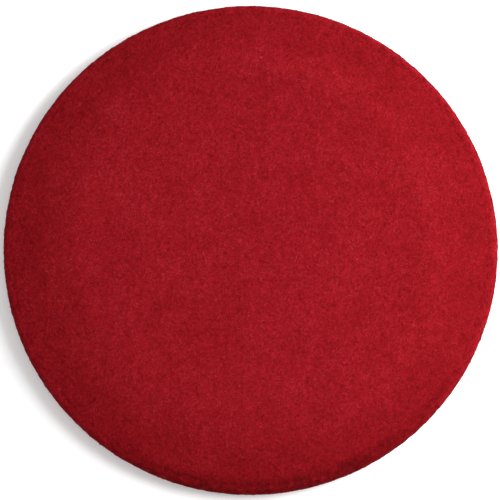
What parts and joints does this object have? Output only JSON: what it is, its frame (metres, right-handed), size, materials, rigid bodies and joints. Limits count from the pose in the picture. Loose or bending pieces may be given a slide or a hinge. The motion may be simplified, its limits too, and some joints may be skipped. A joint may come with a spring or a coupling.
{
  "type": "floor pad",
  "caption": "Round red non-woven pad for a rotary floor machine, crowned towards the floor, with a scored centre plug that pushes out for the pad holder's centring lock.",
  "frame": {"origin": "centre of the flat underside, the face that the pad holder grips", "axes": "+Z out of the crowned working face, along the axis that the machine turns the pad about; X and Y are free, because the pad is round"},
  "size_m": [0.432, 0.432, 0.0254],
  "materials": {
    "web": "matt red non-woven polyester fibre bonded with resin",
    "core": "matt red non-woven polyester fibre bonded with resin, the same web as the pad"
  },
  "bodies": {
    "pad": {"pad_body": "web"},
    "plug": {"centre_plug": "core"}
  },
  "joints": [
    {"name": "plug_lift", "type": "slide", "parent": "pad", "child": "plug", "axis": [0, 0, 1], "range_m": [0, 0.04]}
  ]
}
